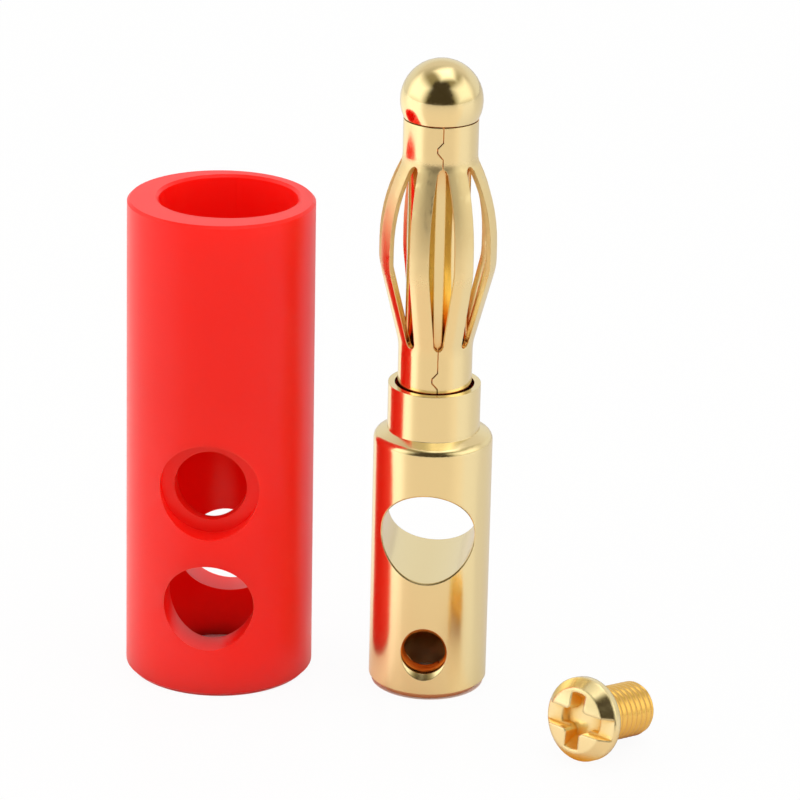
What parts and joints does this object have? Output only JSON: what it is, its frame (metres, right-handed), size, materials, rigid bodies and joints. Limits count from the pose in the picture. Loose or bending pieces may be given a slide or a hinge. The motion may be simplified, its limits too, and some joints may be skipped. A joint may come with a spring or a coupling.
{
  "type": "banana plug",
  "caption": "Banana plug taken apart: a gold plated plug with a slatted spring cage, its drilled red sleeve standing beside it, and the clamp screw.",
  "frame": {"origin": "centre of the plug's rear face, at the mouth of the wire bore", "axes": "+Z along the plug from its rear face to its ball head, -Y out of the clamp screw's hole"},
  "size_m": [0.024, 0.0137, 0.0288],
  "materials": {
    "barrel_gold": "polished gold plating over turned brass",
    "pin_gold": "polished gold plating over turned brass",
    "cage_gold": "gold plating over rolled spring sheet",
    "screw_gold": "bright gold plating over a formed screw",
    "sleeve_red": "moulded, satin to gloss"
  },
  "bodies": {
    "plug": {"barrel": "barrel_gold", "contact_pin": "pin_gold", "clamp_screw": "screw_gold", "insulating_sleeve": "sleeve_red"},
    "cage": {"spring_cage": "cage_gold"}
  },
  "joints": [
    {"name": "cage_turn", "type": "hinge", "parent": "plug", "child": "cage", "pos_m": [0, 0, 0.02], "axis": [0, 0, 1], "continuous": true}
  ]
}
